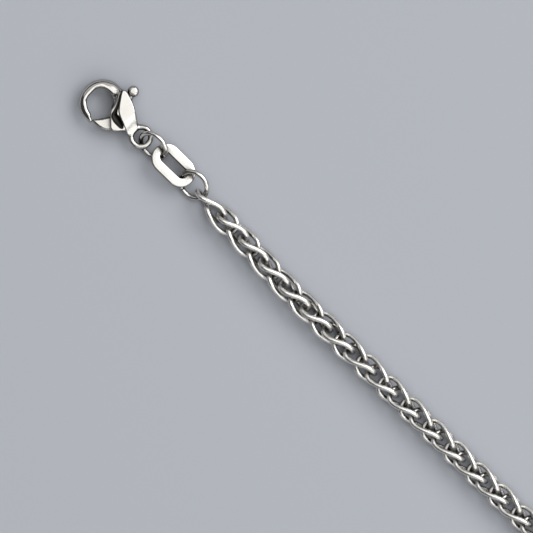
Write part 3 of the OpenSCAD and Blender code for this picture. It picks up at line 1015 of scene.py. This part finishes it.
def cast_form(p):
    """The casting as it comes out of the mould, before its slot and its hole are cut."""
    housing = plate(p, housing_outline, falling(p, CLASP_T), HOUSING_SOFT)
    body = carve(melt(hook(p), housing, HOOK_FILLET), groove(p), GROOVE_RIM)
    blade = plate(p, blade_outline, falling(p, CLASP_T + 2 * BLADE_H), BLADE_SOFT)
    return melt(body, melt(blade, eye(p), EYE_FILLET), BLADE_FOOT)


def clasp_form(p):
    """The casting with its slot, and with a hole for the pin under its skin."""
    cast = cast_form(p)
    hole = np.maximum(rod(p, pivot_x, pivot_y, PIN_D / 2, CLASP_T), cast + PIN_SKIN)
    body = carve(cast, plate(p, slot_outline, LEVER_T + 2 * FIT, SLOT_SOFT), SLOT_SOFT)
    return np.maximum(body, -hole)


# %% The lever
KNOB_AT = sized([-0.495, 0.362])
KNOB_ROUNDNESS = 3
LEVER_SOFT, HUB_WALL = 0.34, 0.27
HUB_FILLET, KNOB_FILLET, HOLE_RIM = 0.05, 0.12, 0.02


def knob(p):
    """The thumb knob: a ball that is a little squarer than a true one."""
    out = np.hypot(p[0] - KNOB_AT[0], p[1] - KNOB_AT[1])
    return (out ** KNOB_ROUNDNESS + np.abs(p[2]) ** KNOB_ROUNDNESS) ** (1 / KNOB_ROUNDNESS) - KNOB_D / 2


def lever_form(p):
    """The lever: its arm and gate, the hub round the pin, and the knob."""
    arm = plate(p, lever_outline, LEVER_T, LEVER_SOFT)
    hub = rod(p, pivot_x, pivot_y, PIN_D / 2 + HUB_WALL, LEVER_T / 2)
    whole = melt(melt(arm, hub, HUB_FILLET), knob(p), KNOB_FILLET)
    return carve(whole, rod(p, pivot_x, pivot_y, PIN_D / 2 + FIT, CLASP_T), HOLE_RIM)


# %% [markdown]
# ## Mesh the clasp, with painted shade in its groove
#
# The groove is painted black and made dull: painted shade that stands in for the dark inside
# it. A noise texture would put it anywhere, and painting it by hand would not follow a change
# of the groove. The groove's own distance says how deep a point lies in it, so each mesh keeps
# that as an attribute, and the finish turns black and dull where it is high.

# %% Mark the groove's painted shade
# How wide the edge of the groove's painted shade fades out
GROOVE_SHADE_FADE = 0.05


def groove_shaded(mesh):
    """Marks how much each point lies in the groove."""
    points = np.empty(len(mesh.vertices) * 3)
    mesh.vertices.foreach_get("co", points)
    depth = groove(points.reshape(-1, 3).T / MM)
    # The share of the groove's painted shade at each point
    mark = mesh.attributes.new("tarnish", "FLOAT", "POINT")
    mark.data.foreach_set("value", 1 - smooth_step((depth - GROOVE_SHADE_FADE / 2) / GROOVE_SHADE_FADE))
    return mesh


# %% Mesh the casting and the lever
NET_STEP = 0.055
# The corners of the space that each form fills, in millimetres from the middle of the eye
CLASP_SPACE = (-9.0, -3.4, -1.4), (1.6, 2.8, 1.4)
LEVER_SPACE = (-5.6, -3.0, -0.8), (-2.2, 4.2, 0.8)
eye_at = np.array([pin_at[0] - pivot_x, pin_at[1] - pivot_y, CLASP_T / 2 + BLADE_H])


def cast_piece(name, form, space, step, body, node):
    """Meshes a form of the clasp, and shows it in the place of its node."""
    mesh = groove_shaded(net(name, form, *space, step))
    finished(put(mesh, Matrix.Identity(3), eye_at), body, node, cast_silver)


cast_piece("lobster_clasp_body", clasp_form, CLASP_SPACE, NET_STEP, "necklace", "clasp_body")
cast_piece("lobster_clasp_lever", lever_form, LEVER_SPACE, NET_STEP, "lever", "clasp_lever")

# %% [markdown]
# ## The pin
#
# The lever turns on a short pin. Burnishing closes the casting's skin over both of its ends,
# so on the real clasp they don't show. A lathe shape with flat ends would stand out of the
# groove. Here the pin is the part of the casting's own form that lies within its circle and a
# little below the skin, so its ends follow the casting.

# %% Cut the pin from the casting's form
PIN_STEP = 0.04
PIN_REACH = np.array([0.5, 0.5, 1.3])


def pin_form(p):
    """The pin, which stops just below the casting's skin."""
    round_form = rod(p, pivot_x, pivot_y, PIN_D / 2 - PIN_PLAY, CLASP_T)
    return np.maximum(round_form, cast_form(p) + PIN_SKIN + PIN_PLAY)


pin_space = [np.array([pivot_x, pivot_y, 0]) + side * PIN_REACH for side in (-1, 1)]
cast_piece("lever_pivot_pin", pin_form, pin_space, PIN_STEP, "necklace", "lever_pin")

# %% [markdown]
# ## The table
#
# The necklace lies on a plain pale table, a little blue, which fills in the metal's lower
# edges. It is far larger than the picture, so that no view shows its end.

# %% Lay the table
TABLE_HALF = 6.0
TABLE_COLOUR, TABLE_ROUGHNESS, TABLE_SHINE = (0.395, 0.411, 0.447, 1), 0.95, 0.1
table_mesh = bpy.data.meshes.new("table")
table_corners = [(x * TABLE_HALF, y * TABLE_HALF, 0) for x, y in ((-1, -1), (1, -1), (1, 1), (-1, 1))]
table_mesh.from_pydata(table_corners, [], [(0, 1, 2, 3)])
floor = in_scene("table", table_mesh)
pale = bpy.data.materials.new("pale_table")
pale.use_nodes = True
pale_shader = pale.node_tree.nodes["Principled BSDF"].inputs
pale_shader["Base Color"].default_value = TABLE_COLOUR
pale_shader["Roughness"].default_value = TABLE_ROUGHNESS
pale_shader["Specular IOR Level"].default_value = TABLE_SHINE
table_mesh.materials.append(pale)
print("table:", 2 * TABLE_HALF, "m wide")

# %% [markdown]
# ## The camera
#
# The camera looks straight down through a long lens, which keeps the near and the far side
# of a link the same size. It is turned so that the chain runs down to the right, and its
# place is measured from the first arch, so that it follows the chain.

# %% Set the camera
VIEW_TURN = 44.2
VIEW_SIDE = 59.2
LENS, SENSOR = 365, 36
NEAREST, FARTHEST = 0.01, 50
# The picture's middle lies this far along the chain from its first arch, and this far to its left
VIEW_AHEAD, VIEW_LEFT = 11.3, 0.17
STRAIGHT_SHARE = 0.045
straight_at = route_pose(STRAIGHT_SHARE * run_l)
look_at = Vector((start_at[0] + VIEW_AHEAD, straight_at[1] + VIEW_LEFT, 0)) * MM
camera_data = bpy.data.cameras.new("camera")
camera_data.lens, camera_data.sensor_width = LENS, SENSOR
camera_data.clip_start, camera_data.clip_end = NEAREST, FARTHEST
camera = in_scene("camera", camera_data)
camera.location = look_at + Vector((0, 0, VIEW_SIDE * MM * LENS / SENSOR))
camera.rotation_euler = (0, 0, math.radians(VIEW_TURN))
bpy.context.scene.camera = camera
print("camera", round(camera.location.z, 3), "m up")

# %% [markdown]
# ## The lights
#
# Polished metal shows its surroundings. A jeweller photographs it under a large white
# softbox, which turns every face that looks up white, with dark space between that and
# smaller cards at the sides, which draws the dark lines that make metal look like metal.
# A bare lamp would leave only a hot spot on each wire.

# %% Hang the softboxes
def softbox(name, azimuth, elevation, distance, size, power):
    """An area light that looks at the camera's subject. Azimuth counts from the picture's right."""
    a, e = math.radians(azimuth + VIEW_TURN), math.radians(elevation)
    away = Vector((math.cos(a) * math.cos(e), math.sin(a) * math.cos(e), math.sin(e)))
    light = bpy.data.lights.new(name, "AREA")
    light.shape, light.size, light.size_y, light.energy = "RECTANGLE", size[0], size[1], power
    lamp = in_scene(name, light)
    lamp.location = look_at + away * distance
    lamp.rotation_euler = away.to_track_quat("Z", "Y").to_euler()
    lamp.visible_camera = False


# Each row: name, azimuth and elevation in degrees, distance and size in metres, power in watts
SOFTBOXES = [("overhead", 60, 82, 1.2, (1.25, 1.25), 7.0), ("key", 28, 42, 1.3, (1.3, 0.7), 12.0),
    ("upper_card", 108, 40, 1.2, (2.2, 0.8), 3.0), ("right_card", -40, 38, 1.2, (0.8, 1.1), 4.8),
    ("lower_card", 268, 34, 1.2, (1.1, 0.7), 1.9)]
for row in SOFTBOXES:
    softbox(*row)
print("softboxes:", len(SOFTBOXES))

# %% The room
ROOM_COLOUR, ROOM_STRENGTH = (0.95, 0.97, 1, 1), 0.05
world = bpy.data.worlds.new("studio")
world.use_nodes = True
air = world.node_tree.nodes["Background"].inputs
air["Color"].default_value, air["Strength"].default_value = ROOM_COLOUR, ROOM_STRENGTH
bpy.context.scene.world = world
bpy.context.scene.view_settings.view_transform = "Standard"
